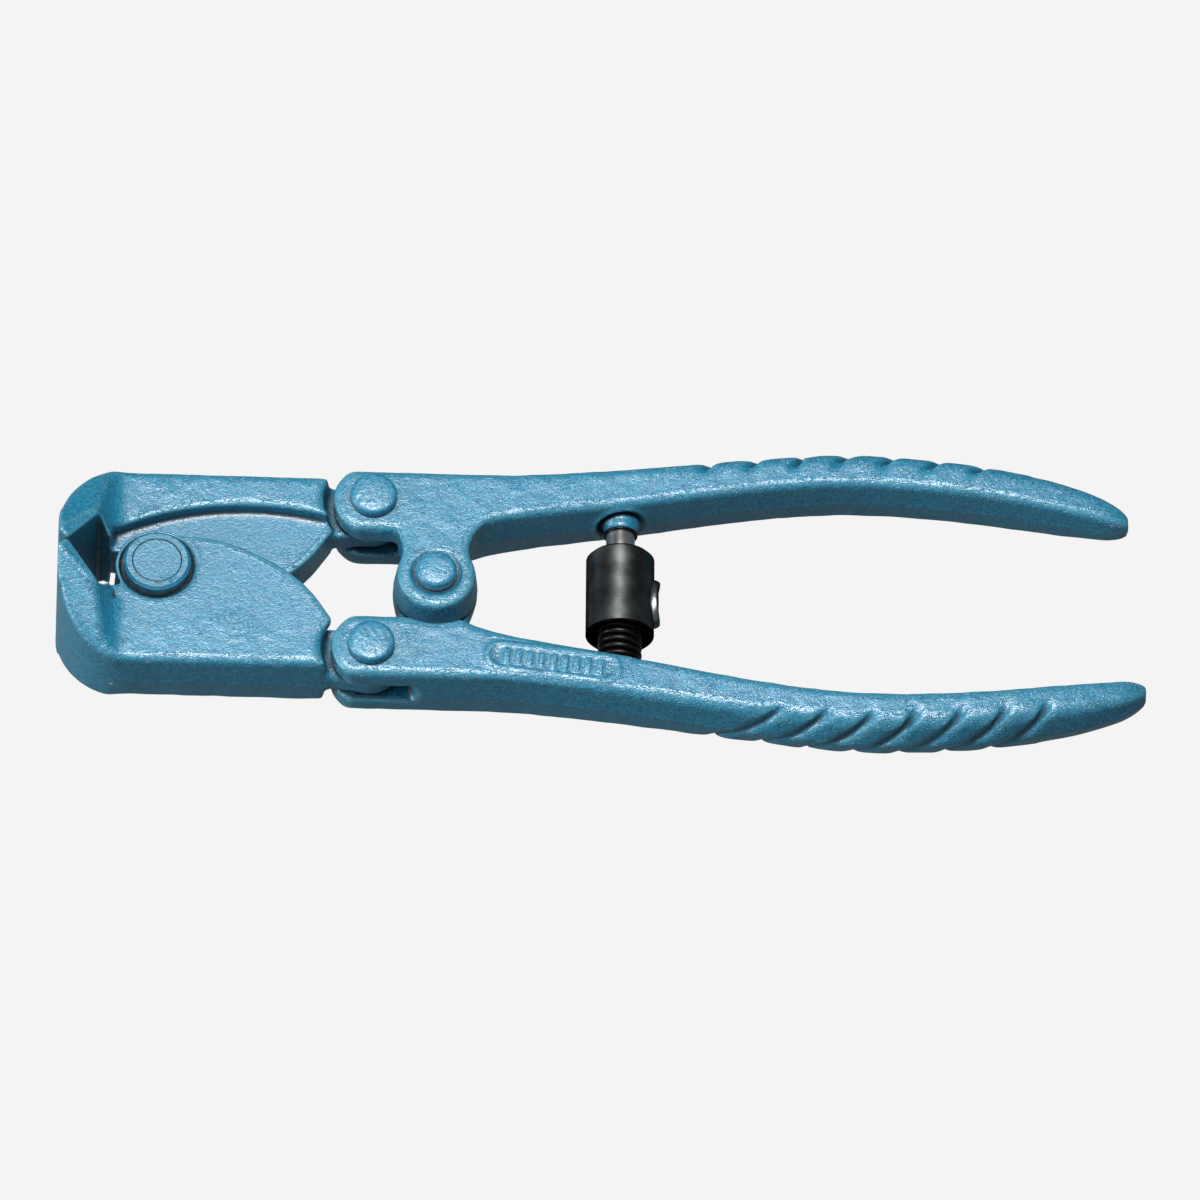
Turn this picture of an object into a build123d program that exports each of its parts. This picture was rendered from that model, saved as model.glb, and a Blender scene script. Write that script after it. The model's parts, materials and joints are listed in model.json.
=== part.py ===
from build123d import *
import os
from math import atan, cos, degrees, radians, sin, sqrt, tan

# Compound end-cutting nipper for hard wire.
# Two forged jaws turn on one pivot at the head.  The tail lug of each jaw is
# riveted in the fork of its handle, and the two handles turn on each other
# behind the jaws.  Squeezing the handles spreads the tails and closes the nose.
#
# X runs along the tool with the nose at the low end, Y runs from the lower to
# the upper handle and Z is the direction of every pivot.  The origin is the
# middle of the closed tool.  Points are written as (distance behind the nose,
# height above the centre line) for the upper half; the lower half mirrors them.

# ---------------------------------------------------------------- sizes (mm)
overall_length = 200.0
tip_stagger = 3.0            # the upper handle stops short of the lower one

forging_half = 6.9           # half thickness of jaws and handle heads
draft_angle = 7.0            # forging draft of the outer walls
edge_round = 1.2             # rounding of the handle edges

# pivots
nose_to_jaw_pivot = 18.2
jaw_to_link = 39.5           # along X, jaw pivot to link rivet
link_below_edge = 5.2        # link rivet below the outer edge of the jaw
link_to_handle_pivot = 11.7  # along X, link rivet to handle pivot

# jaws
jaw_half_width = 20.9        # at the parting plane
jaw_flare_angle = 1.0        # the jaws widen towards the tail
nose_half_height = 16.6      # pincer nose, half size along Z
nose_shoulder = 7.0          # where the steep slope of the nose starts
nose_shoulder_half = 13.3
nose_slope_station = 9.2     # the slope curves out through this point
nose_slope_half = 9.0
nose_foot = 12.8             # where the nose reaches the jaw thickness
nose_crown_flat = 1.8        # the nose falls away from here to the outer edge
nose_crown_share = 0.57
nose_crown_half = 11.5
nose_crown_edge = 0.1        # left above the jaw thickness at that edge
nose_curve_length = 14.0
nose_flat = 4.0              # straight front of each jaw beside the edges
edge_set_back = 1.7          # cutting edge behind the nose
edge_bevel_width = 1.5
edge_gap = 0.03
hollow_shoulder = 7.5
hollow_half_width = 7.3
spur_inner = 4.3             # height of the spur behind the hollow
spur_station = 9.8
step_start = 7.4             # height where the face step starts at the hollow
step_crest_station = 28.1
step_crest_drop = 2.6        # crest and tail end of the step, below the link
step_end_drop = 3.9
tail_clearance = 1.7         # jaw tail to handle ear

# jaw joint: a tongue between two cheeks
tongue_half = 4.1
cheek_gap = 0.05
boss_radius = 7.6
jaw_pin_radius = 4.6
jaw_washer_radius = 6.15
jaw_washer_top = 8.6
jaw_recess_radius = 6.9
jaw_recess_depth = 0.9
running_gap = 0.05           # radial, pins in the pieces that turn on them

# web of the joint: share of the way from jaw pivot to link, height
web_points = [
    (0.0709, -6.3),
    (0.1772, -6.5),
    (0.3241, -5.4),
    (0.4734, -2.9),
    (0.6228, 0.8),
]
web_end_share = 0.7696
web_end_drop = 8.3           # below the link

# tail lugs and handle forks
lug_half = 2.35
lug_side_gap = 0.15
lug_radius = 5.8
lug_root_inner = 5.9         # root of the lug, below and above the link
lug_root_outer = 4.6
lug_root_depth = 1.5
lug_root_length = 3.0
ear_radius = 7.4
link_pin_radius = 2.5
link_head_radius = 4.3
link_head_height = 2.6
loose_link_gap = 0.25        # radial, only at the pivot that stays open

# handle pivot: two half-lapped ears
handle_boss_radius = 8.0
boss_clearance = 2.4
lap_gap = 0.05
handle_pin_radius = 2.7
handle_head_radius = 3.8
handle_head_height = 2.5
handle_recess_radius = 4.7
handle_recess_depth = 0.5

# handle heads
head_rise = 1.7              # handle heads stand above the jaws
head_overrun = 4.6           # straight head behind the handle pivot
fork_inner_end = 4.7         # fork bottom behind the link rivet, inner wall
fork_outer_end = 9.1

# arms: share of the arm length, inner wall and outer crest above the link,
# half thickness, outer corner rounding, drop of the outer crown
arm_sections = [
    (0.070, -5.3, 6.9, 6.90, 1.2, 0.85),
    (0.115, -3.8, 7.1, 6.85, 1.3, 0.85),
    (0.180, -2.3, 7.9, 6.70, 1.5, 0.90),
    (0.270, -0.5, 9.3, 6.50, 1.8, 1.00),
    (0.380, 2.1, 11.4, 6.30, 2.2, 1.20),
    (0.490, 4.4, 13.6, 6.15, 2.8, 1.60),
    (0.600, 5.6, 14.9, 6.10, 3.0, 1.80),
    (0.695, 5.3, 14.5, 6.05, 3.0, 1.80),
    (0.790, 4.2, 13.2, 5.95, 2.9, 1.70),
    (0.875, 2.6, 11.0, 5.50, 2.6, 1.50),
    (0.945, 1.2, 8.2, 4.60, 2.0, 1.20),
    (0.985, 0.7, 5.5, 3.40, 1.3, 0.80),
    (1.000, 1.1, 3.7, 2.00, 0.7, 0.40),
]
groove_count = 7
groove_start = 0.432         # share of the arm length at the first groove
groove_pitch = 8.4
groove_radius = 0.8
groove_depth = 0.4
groove_end_share = 0.75      # the groove ends this far round the corner
groove_lean = 48.0           # degrees from the thickness direction

# blank label frame on the lower handle
label_station = 91.0
label_rise_over_link = 2.5   # middle of the label beyond the link
label_length = 25.0
label_width = 5.8
label_line = 0.7
label_rise = 0.35
label_face = 6.66            # height of the arm's face at the label
label_root = 0.6             # how deep the frame runs into the arm
label_tilt = -6.0
label_bar_count = 9
label_bar_size = 1.1

# stop and spring unit between the handles
unit_station = 103.4
sleeve_radius = 6.3
sleeve_top = 8.2
sleeve_bottom = -8.6
sleeve_bore_radius = 5.3
sleeve_end_wall = 2.2
sleeve_chamfer = 0.7
tab_length = 10.0
tab_width = 6.4
tab_rise = 1.2
tab_middle = -1.4
stud_radius = 2.65
stud_seat_rise = 0.7         # spot face in the upper handle, above the link
stud_depth = 5.5
stud_head_radius = 4.3
stud_head_thickness = 1.4
spot_face_radius = 4.3
collar_radius = 3.5
collar_thickness = 3.6
thrust_washer_thickness = 0.8
end_play = 0.1
spring_outer_radius = 4.1
spring_inner_radius = 2.9
spring_seat_rise = 0.4       # spot face in the lower handle, above the link
spring_spot_radius = 4.7
guide_pin_radius = 2.4
guide_pin_height = 5.0
guide_pin_depth = 4.0

# ------------------------------------------------------------ worked-out sizes
nose_x = -overall_length / 2
jaw_pivot_x = nose_x + nose_to_jaw_pivot
link_x = jaw_pivot_x + jaw_to_link
link_height = jaw_half_width - link_below_edge
step_crest = link_height - step_crest_drop
step_end = link_height - step_end_drop
head_outer = jaw_half_width + head_rise
stud_seat = link_height + stud_seat_rise
spring_seat = link_height + spring_seat_rise
handle_pivot_x = link_x + link_to_handle_pivot
unit_x = nose_x + unit_station
draft_drop = forging_half * tan(radians(draft_angle))
jaw_tail_arc = ear_radius + tail_clearance
cheek_inner = tongue_half + cheek_gap
fork_half = lug_half + lug_side_gap
head_inner = link_height - ear_radius   # inner wall of the handle head
fork_start_x = link_x - ear_radius - 1.0
head_end_x = handle_pivot_x + head_overrun
reach = 60.0                 # larger than any cut needs


def at(station, height):
    # a point of the upper half, by its distance behind the nose
    return (nose_x + station, height)


def tail_point(height):
    # where the concave tail of a jaw stands at this height
    rise = height - link_height
    return (link_x - sqrt(jaw_tail_arc**2 - rise**2), height)


def jaw_plan(side):
    # full-thickness outline of a jaw: nose curve, outer edge, concave tail,
    # face step and the wall of the hollow behind the cutting edge
    tail_top = tail_point(jaw_half_width)
    tail_bottom = tail_point(step_end)
    tail_middle = (link_x - jaw_tail_arc, link_height)
    with BuildSketch() as plan:
        with BuildLine():
            Line(at(edge_set_back, edge_gap), at(0, edge_bevel_width))
            Line(at(0, edge_bevel_width), at(0, nose_flat))
            EllipticalCenterArc(
                at(nose_curve_length, nose_flat),
                nose_curve_length,
                jaw_half_width - nose_flat,
                start_angle=90,
                arc_size=90,
            )
            Line(at(nose_curve_length, jaw_half_width), tail_top)
            ThreePointArc(tail_top, tail_middle, tail_bottom)
            ThreePointArc(
                tail_bottom,
                at(step_crest_station, step_crest),
                at(spur_station, step_start),
            )
            Polyline(
                at(spur_station, step_start),
                at(spur_station, spur_inner),
                at(hollow_shoulder, hollow_half_width),
                at(edge_set_back, edge_gap),
            )
        make_face()
        if side < 0:
            mirror(about=Plane.XZ, mode=Mode.REPLACE)
    return plan.sketch


def joint_plan(side):
    # outline shared by the tongue and the cheeks: a boss round the jaw pivot
    # and a curved web back to the tail, both running into the jaw
    with BuildSketch() as plan:
        with Locations((jaw_pivot_x, 0)):
            Circle(boss_radius)
        with BuildLine():
            web = Spline(
                *[(jaw_pivot_x + share * jaw_to_link, height) for share, height in web_points],
                (jaw_pivot_x + web_end_share * jaw_to_link, link_height - web_end_drop),
            )
            Polyline(
                web @ 1,
                tail_point(link_height - 5.5),
                tail_point(step_end + 1.0),
                at(28.0, step_crest + 1.0),
                at(spur_station + 1.0, step_start + 0.6),
                at(spur_station, step_start - 0.4),
                at(spur_station, spur_inner + 0.1),
                at(12.4, 4.0),
                web @ 0,
            )
        make_face()
        if side < 0:
            mirror(about=Plane.XZ, mode=Mode.REPLACE)
    return plan.sketch


def lug_plan(side):
    # tail lug round the link rivet
    root_x = link_x - jaw_tail_arc - lug_root_depth
    neck_x = root_x + lug_root_length
    with BuildSketch() as plan:
        with Locations((link_x, link_height)):
            Circle(lug_radius)
        with BuildLine():
            Polyline(
                (root_x, link_height - lug_root_inner),
                (neck_x, link_height - lug_root_inner),
                (link_x, link_height - lug_radius),
                (link_x, link_height + lug_radius),
                (neck_x, link_height + lug_root_outer),
                (root_x, link_height + lug_root_outer),
                close=True,
            )
        make_face()
        if side < 0:
            mirror(about=Plane.XZ, mode=Mode.REPLACE)
    return plan.sketch


def nose_side_view():
    # jaw seen along Y: the flared pincer nose and the flat body
    with BuildSketch(Plane.XZ) as view:
        with BuildLine():
            Polyline(
                at(-1.0, 0),
                at(-1.0, nose_half_height),
                at(0, nose_half_height),
                at(nose_shoulder, nose_shoulder_half),
            )
            Spline(
                at(nose_shoulder, nose_shoulder_half),
                at(nose_slope_station, nose_slope_half),
                at(nose_foot, forging_half),
                tangents=[(1.0, -1.2), (1.0, 0)],
            )
            Polyline(at(nose_foot, forging_half), at(2 * reach, forging_half), at(2 * reach, 0))
            Line(at(2 * reach, 0), at(-1.0, 0))
        make_face()
        mirror(about=Plane.XZ)
    return view.sketch


def nose_crown(side):
    # jaw seen along X: the nose is thickest at the cutting edge
    edge_half = forging_half + nose_crown_edge
    with BuildSketch(Plane.YZ.offset(nose_x - 1.0)) as crown:
        with BuildLine():
            Polyline(
                (-side, 0),
                (-side, nose_half_height),
                (side * nose_crown_flat, nose_half_height),
            )
            ThreePointArc(
                (side * nose_crown_flat, nose_half_height),
                (side * nose_crown_share * jaw_half_width, nose_crown_half),
                (side * jaw_half_width, edge_half),
            )
            Polyline((side * jaw_half_width, edge_half), (side * reach, edge_half), (side * reach, 0))
            Line((side * reach, 0), (-side, 0))
        make_face()
        mirror(about=Plane.XZ)
    return crown.sketch


def drafted_wall(side):
    # jaw seen along X: the outer wall leans in from the parting plane
    lean = tan(radians(draft_angle)) * nose_half_height
    wall_plane = Plane(
        origin=(nose_x + nose_curve_length, side * jaw_half_width, 0),
        x_dir=(0, side, 0),
        z_dir=(1, 0, 0),
    )
    with BuildSketch(wall_plane) as wall:
        with BuildLine():
            Polyline(
                (0, 0),
                (-lean, nose_half_height),
                (-reach, nose_half_height),
                (-reach, -nose_half_height),
                (-lean, -nose_half_height),
                close=True,
            )
        make_face()
    return wall.sketch


def arm_section(place, inner, outer, half, corner, crown):
    # cross-section of a handle: drafted inner wall, flat faces, crowned outer
    # wall, with the forging's parting line half way up both walls
    drop = half * tan(radians(draft_angle))
    with BuildSketch(Plane.YZ.offset(place)) as section:
        with BuildLine():
            Polyline(
                (inner, 0),
                (inner + drop, half),
                (outer - crown, half),
                (outer, 0),
                (outer - crown, -half),
                (inner + drop, -half),
                close=True,
            )
        make_face()
        fillet(section.vertices().group_by(Axis.X)[1], min(edge_round, corner))
        fillet(section.vertices().group_by(Axis.X)[-2], corner)
    return section.sketch


def arm_length(stagger):
    return nose_x + overall_length - stagger - handle_pivot_x


def head_section(place):
    return arm_section(place, head_inner, head_outer, forging_half, edge_round, draft_drop)


def arm_lofts(stagger):
    # sections of an arm, from the end of the handle head to the tip of the grip
    yield head_section(head_end_x)
    for share, inner, outer, half, corner, crown in arm_sections:
        place = handle_pivot_x + share * arm_length(stagger)
        yield arm_section(place, link_height + inner, link_height + outer, half, corner, crown)


def ear_end_waste(side):
    # what is cut off to round the ears about the link rivet
    ear_top = (link_x, link_height + ear_radius)
    ear_bottom = (link_x, link_height - ear_radius)
    with BuildSketch() as waste:
        with BuildLine():
            ThreePointArc(ear_top, (link_x - ear_radius, link_height), ear_bottom)
            Polyline(
                ear_bottom,
                (link_x, link_height - reach / 2),
                (link_x - reach / 2, link_height - reach / 2),
                (link_x - reach / 2, link_height + reach / 2),
                (link_x, link_height + reach / 2),
                ear_top,
            )
        make_face()
        if side < 0:
            mirror(about=Plane.XZ, mode=Mode.REPLACE)
    return waste.sketch


def handle_neck_plan(side):
    # waisted neck between the handle and the boss of its pivot ear
    with BuildSketch() as plan:
        with BuildLine():
            left = Spline(
                (handle_pivot_x - 6.4, 2.6),
                (handle_pivot_x - 6.3, 5.4),
                (handle_pivot_x - 7.2, head_inner + 0.5),
            )
            right = Spline(
                (handle_pivot_x + 6.4, 2.6),
                (handle_pivot_x + 6.1, 6.4),
                (handle_pivot_x + 7.6, head_inner + 1.5),
                (handle_pivot_x + 11.4, head_inner + 4.6),
            )
            Line(left @ 0, right @ 0)
            Polyline(left @ 1, (handle_pivot_x - 6.5, head_inner + 4.2), right @ 1)
        make_face()
        if side < 0:
            mirror(about=Plane.XZ, mode=Mode.REPLACE)
    return plan.sketch


def fork_plan(side):
    # slot of the fork that takes the jaw's lug
    start_x = link_x - ear_radius - 2.0
    with BuildSketch() as plan:
        with BuildLine():
            Polyline(
                (start_x, head_inner - 2.0),
                (link_x + fork_inner_end, head_inner - 2.0),
                (link_x + fork_inner_end, head_inner + 0.8),
                (link_x + fork_outer_end, head_outer + 2.0),
                (start_x, head_outer + 2.0),
                close=True,
            )
        make_face()
        if side < 0:
            mirror(about=Plane.XZ, mode=Mode.REPLACE)
    return plan.sketch


def arm_shape(place, stagger):
    # section values of an arm at this X: inner wall, crest, half, corner, crown
    share = (place - handle_pivot_x) / arm_length(stagger)
    for near, far in zip(arm_sections, arm_sections[1:]):
        if near[0] <= share <= far[0]:
            mix = (share - near[0]) / (far[0] - near[0])
            return [first + mix * (last - first) for first, last in zip(near[1:], far[1:])]
    return arm_sections[-1][1:]


def cut_grooves(side, stagger):
    # slanting grip grooves, each a ring that follows the crown of the grip and
    # runs out on the rounded corners
    lean = radians(groove_lean)
    for index in range(groove_count):
        place = handle_pivot_x + groove_start * arm_length(stagger) + index * groove_pitch
        inner, crest_rise, half, corner, crown = arm_shape(place, stagger)
        end_lift = half - groove_end_share * corner
        end_drop = crown * end_lift / half + corner * (1 - sqrt(1 - (1 - groove_end_share) ** 2))
        sweep = (end_lift / cos(lean)) ** 2 / (2 * end_drop)
        rise = arm_shape(place + 2.0, stagger)[1] - arm_shape(place - 2.0, stagger)[1]
        outward = Vector(-rise, 4.0 * side, 0).normalized()
        along = Vector(sin(lean), 0, -side * cos(lean))
        crest = Vector(place, side * (link_height + crest_rise), 0)
        middle = crest - outward * (sweep + groove_radius - groove_depth)
        with Locations(Plane(origin=middle, x_dir=outward, z_dir=outward.cross(along))):
            Torus(sweep, groove_radius, mode=Mode.SUBTRACT)


def forge_handle(side, stagger):
    # everything the two handles share, in the open part block; the ear of the
    # upper handle is the front half of the lap, that of the lower the rear half
    extrude(head_section(fork_start_x), amount=head_end_x - fork_start_x)
    loft([*arm_lofts(stagger)])
    if side < 0:
        mirror(about=Plane.XZ, mode=Mode.REPLACE)
    extrude(ear_end_waste(side), amount=reach, both=True, mode=Mode.SUBTRACT)
    extrude(handle_neck_plan(side), amount=forging_half, dir=(0, 0, side))
    with Locations(Plane(origin=(handle_pivot_x, 0, 0), z_dir=(0, 0, side))):
        Cone(
            handle_boss_radius,
            handle_boss_radius - draft_drop,
            forging_half,
            align=(Align.CENTER, Align.CENTER, Align.MIN),
        )
    lap_depth = forging_half + 2.0
    with Locations((handle_pivot_x, 0, side * (lap_gap / 2 - lap_depth / 2))):
        Cylinder(handle_boss_radius + boss_clearance, lap_depth, mode=Mode.SUBTRACT)
    extrude(fork_plan(side), amount=fork_half, both=True, mode=Mode.SUBTRACT)
    with Locations((link_x, side * link_height, 0)):
        Cylinder(link_pin_radius, reach, mode=Mode.SUBTRACT)
    with Locations((handle_pivot_x, 0, side * (forging_half - handle_recess_depth + 1.0))):
        Cylinder(handle_recess_radius, 2.0, mode=Mode.SUBTRACT)
    cut_grooves(side, stagger)


# ---------------------------------------------------------------- upper jaw
with BuildPart() as upper_jaw:
    extrude(jaw_plan(1), amount=nose_half_height, both=True)
    extrude(nose_side_view(), amount=reach, both=True, mode=Mode.INTERSECT)
    extrude(nose_crown(1), amount=2 * reach, mode=Mode.INTERSECT)
    extrude(drafted_wall(1), amount=reach, both=True, mode=Mode.INTERSECT)
    extrude(joint_plan(1), amount=tongue_half, both=True)
    extrude(lug_plan(1), amount=lug_half, both=True)
    with Locations((jaw_pivot_x, 0, 0)):
        Cylinder(jaw_pin_radius + running_gap, reach, mode=Mode.SUBTRACT)
    with Locations((link_x, link_height, 0)):
        Cylinder(link_pin_radius + loose_link_gap, reach, mode=Mode.SUBTRACT)

# ---------------------------------------------------------------- lower jaw
with BuildPart() as lower_jaw:
    extrude(jaw_plan(-1), amount=nose_half_height, both=True)
    extrude(nose_side_view(), amount=reach, both=True, mode=Mode.INTERSECT)
    extrude(nose_crown(-1), amount=2 * reach, mode=Mode.INTERSECT)
    extrude(drafted_wall(-1), amount=reach, both=True, mode=Mode.INTERSECT)
    for face in (1, -1):
        cheek_plan = joint_plan(-1).moved(Location((0, 0, face * cheek_inner)))
        extrude(cheek_plan, amount=forging_half - cheek_inner, dir=(0, 0, face))
    extrude(lug_plan(-1), amount=lug_half, both=True)
    with Locations((jaw_pivot_x, 0, 0)):
        Cylinder(jaw_pin_radius + running_gap, reach, mode=Mode.SUBTRACT)
    recess_offset = forging_half - jaw_recess_depth + 1.0
    with Locations((jaw_pivot_x, 0, recess_offset), (jaw_pivot_x, 0, -recess_offset)):
        Cylinder(jaw_recess_radius, 2.0, mode=Mode.SUBTRACT)
    with Locations((link_x, -link_height, 0)):
        Cylinder(link_pin_radius + running_gap, reach, mode=Mode.SUBTRACT)

# ------------------------------------------------------------- upper handle
with BuildPart() as upper_handle:
    forge_handle(1, tip_stagger)
    with Locations((handle_pivot_x, 0, 0)):
        Cylinder(handle_pin_radius + running_gap, reach, mode=Mode.SUBTRACT)
    with Locations(Plane(origin=(unit_x, stud_seat - 4.0, 0), z_dir=(0, 1, 0))):
        Cylinder(spot_face_radius, 8.0, mode=Mode.SUBTRACT)
    with Locations(Plane(origin=(unit_x, stud_seat + stud_depth / 2, 0), z_dir=(0, 1, 0))):
        Cylinder(stud_radius, stud_depth, mode=Mode.SUBTRACT)

# ------------------------------------------------------------- lower handle
label_near = arm_sections[1]
label_far = arm_sections[3]
label_fall = label_near[3] - label_far[3]
label_span = (label_far[0] - label_near[0]) * arm_length(0.0)
label_drop = degrees(atan(label_fall / label_span))
label_height = -(link_height + label_rise_over_link)
label_plane = Plane(
    origin=(nose_x + label_station, label_height, label_face - label_root),
    x_dir=(cos(radians(label_tilt)), sin(radians(label_tilt)), -sin(radians(label_drop))),
    z_dir=(sin(radians(label_drop)), 0, cos(radians(label_drop))),
)

with BuildPart() as lower_handle:
    forge_handle(-1, 0.0)
    with Locations((handle_pivot_x, 0, 0)):
        Cylinder(handle_pin_radius, reach, mode=Mode.SUBTRACT)
    with Locations(Plane(origin=(unit_x, -spring_seat + 4.0, 0), z_dir=(0, 1, 0))):
        Cylinder(spring_spot_radius, 8.0, mode=Mode.SUBTRACT)
    with Locations(Plane(origin=(unit_x, -spring_seat - guide_pin_depth / 2, 0), z_dir=(0, 1, 0))):
        Cylinder(guide_pin_radius, guide_pin_depth, mode=Mode.SUBTRACT)
    # blank label: a raised rounded frame with plain bars inside
    with BuildSketch(label_plane):
        SlotOverall(label_length, label_width)
        SlotOverall(
            label_length - 2 * label_line,
            label_width - 2 * label_line,
            mode=Mode.SUBTRACT,
        )
        with GridLocations((label_length - label_width) / label_bar_count, 0, label_bar_count, 1):
            Rectangle(label_bar_size, label_width - 4 * label_line)
    extrude(amount=label_root + label_rise)

# ------------------------------------------------- jaw pivot pin and washers
with BuildPart() as jaw_pivot_pin:
    with Locations((jaw_pivot_x, 0, 0)):
        Cylinder(jaw_pin_radius, 2 * jaw_washer_top)
    chamfer(jaw_pivot_pin.edges().filter_by(GeomType.CIRCLE), 0.25)


def jaw_washer(face):
    # washer swaged on the pin, sunk a little into the cheek
    seat = forging_half - jaw_recess_depth
    with BuildPart() as washer:
        with BuildSketch(Plane(origin=(jaw_pivot_x, 0, face * seat), z_dir=(0, 0, face))):
            Circle(jaw_washer_radius)
            Circle(jaw_pin_radius, mode=Mode.SUBTRACT)
        extrude(amount=jaw_washer_top - seat)
        outer_rim = washer.edges().group_by(Axis.Z)[-1 if face > 0 else 0].sort_by(SortBy.RADIUS)[-1]
        chamfer(outer_rim, 0.5)
    return washer


jaw_washer_front = jaw_washer(1)
jaw_washer_rear = jaw_washer(-1)


# --------------------------------------------------------------------- rivets
def rivet(place, pin_radius, head_radius, head_base, head_height):
    # domed heads on both ends of one pin, revolved about the pivot
    with BuildPart() as piece:
        with BuildSketch(Plane.XZ.offset(-place[1])):
            with BuildLine():
                Polyline(
                    (place[0], -head_base - head_height),
                    (place[0], head_base + head_height),
                )
                for face in (1, -1):
                    crown = (place[0], face * (head_base + head_height))
                    rim = (place[0] + head_radius, face * (head_base + 0.25 * head_height))
                    TangentArc(crown, rim, tangent=(1, 0))
                    Polyline(
                        rim,
                        (place[0] + head_radius, face * head_base),
                        (place[0] + pin_radius, face * head_base),
                        (place[0] + pin_radius, 0),
                    )
            make_face()
        revolve(axis=Axis((place[0], place[1], 0), (0, 0, 1)))
    return piece


upper_link_rivet = rivet(
    (link_x, link_height), link_pin_radius, link_head_radius, forging_half, link_head_height
)
lower_link_rivet = rivet(
    (link_x, -link_height), link_pin_radius, link_head_radius, forging_half, link_head_height
)
handle_pivot_rivet = rivet(
    (handle_pivot_x, 0),
    handle_pin_radius,
    handle_head_radius,
    forging_half - handle_recess_depth,
    handle_head_height,
)


# ------------------------------------------------------- stop and spring unit
def unit_plane(height):
    # plane across the unit's axis, looking from the lower to the upper handle
    return Plane(origin=(unit_x, height, 0), x_dir=(1, 0, 0), z_dir=(0, 1, 0))


bore_top = sleeve_top - sleeve_end_wall
stud_head_top = bore_top - end_play
stud_head_bottom = stud_head_top - stud_head_thickness
thrust_face = stud_head_bottom - thrust_washer_thickness

with BuildPart() as spring_sleeve:
    with BuildSketch(unit_plane(sleeve_bottom)):
        Circle(sleeve_radius)
    extrude(amount=sleeve_top - sleeve_bottom)
    chamfer(spring_sleeve.edges().group_by(Axis.Y)[-1], sleeve_chamfer)
    with BuildSketch(unit_plane(sleeve_bottom)):
        Circle(sleeve_bore_radius)
    extrude(amount=bore_top - sleeve_bottom, mode=Mode.SUBTRACT)
    with BuildSketch(unit_plane(bore_top)):
        Circle(stud_radius + running_gap)
    extrude(amount=sleeve_end_wall, mode=Mode.SUBTRACT)
    chamfer(spring_sleeve.edges().group_by(Axis.Y)[0], 0.3)

with BuildPart() as sleeve_tab:
    # leaf-shaped thumb tab curled against the side of the sleeve
    with BuildSketch(unit_plane(tab_middle - tab_length / 2)):
        Circle(sleeve_radius + tab_rise)
        Circle(sleeve_radius, mode=Mode.SUBTRACT)
    extrude(amount=tab_length)
    with BuildSketch(Plane.YZ.offset(unit_x)):
        with Locations((tab_middle, 0)):
            Ellipse(tab_length / 2, tab_width / 2)
    extrude(amount=2 * sleeve_radius, mode=Mode.INTERSECT)

with BuildPart() as stop_stud:
    with BuildSketch(unit_plane(stud_head_bottom)):
        Circle(stud_head_radius)
    extrude(amount=stud_head_thickness)
    with BuildSketch(unit_plane(stud_head_top)):
        Circle(stud_radius)
    extrude(amount=stud_seat + stud_depth - stud_head_top)

with BuildPart() as stud_collar:
    with BuildSketch(unit_plane(stud_seat - collar_thickness)):
        Circle(collar_radius)
        Circle(stud_radius, mode=Mode.SUBTRACT)
    extrude(amount=collar_thickness)
    chamfer(stud_collar.edges().group_by(Axis.Y)[0].sort_by(SortBy.RADIUS)[-1], 0.4)

with BuildPart() as thrust_washer:
    with BuildSketch(unit_plane(thrust_face)):
        Circle(stud_head_radius)
        Circle(guide_pin_radius, mode=Mode.SUBTRACT)
    extrude(amount=thrust_washer_thickness)

with BuildPart() as return_spring:
    # envelope of the coil, from the lower spot face to the thrust washer
    with BuildSketch(unit_plane(-spring_seat)):
        Circle(spring_outer_radius)
        Circle(spring_inner_radius, mode=Mode.SUBTRACT)
    extrude(amount=thrust_face + spring_seat)

with BuildPart() as spring_guide_pin:
    with BuildSketch(unit_plane(-spring_seat - guide_pin_depth)):
        Circle(guide_pin_radius)
    extrude(amount=guide_pin_depth + guide_pin_height)
    chamfer(spring_guide_pin.edges().group_by(Axis.Y)[-1], 0.6)

# --------------------------------------------------------------------- export
pieces = {
    "upper_jaw": upper_jaw,
    "lower_jaw": lower_jaw,
    "upper_handle": upper_handle,
    "lower_handle": lower_handle,
    "jaw_pivot_pin": jaw_pivot_pin,
    "jaw_washer_front": jaw_washer_front,
    "jaw_washer_rear": jaw_washer_rear,
    "upper_link_rivet": upper_link_rivet,
    "lower_link_rivet": lower_link_rivet,
    "handle_pivot_rivet": handle_pivot_rivet,
    "spring_sleeve": spring_sleeve,
    "sleeve_tab": sleeve_tab,
    "stop_stud": stop_stud,
    "stud_collar": stud_collar,
    "thrust_washer": thrust_washer,
    "return_spring": return_spring,
    "spring_guide_pin": spring_guide_pin,
}
os.makedirs("parts", exist_ok=True)
for name, piece in pieces.items():
    piece.part.label = name
    export_step(piece.part, f"parts/{name}.step")
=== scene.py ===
import json
import math
import bpy
import bmesh
import numpy as np
from mathutils import Matrix, Vector


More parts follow.
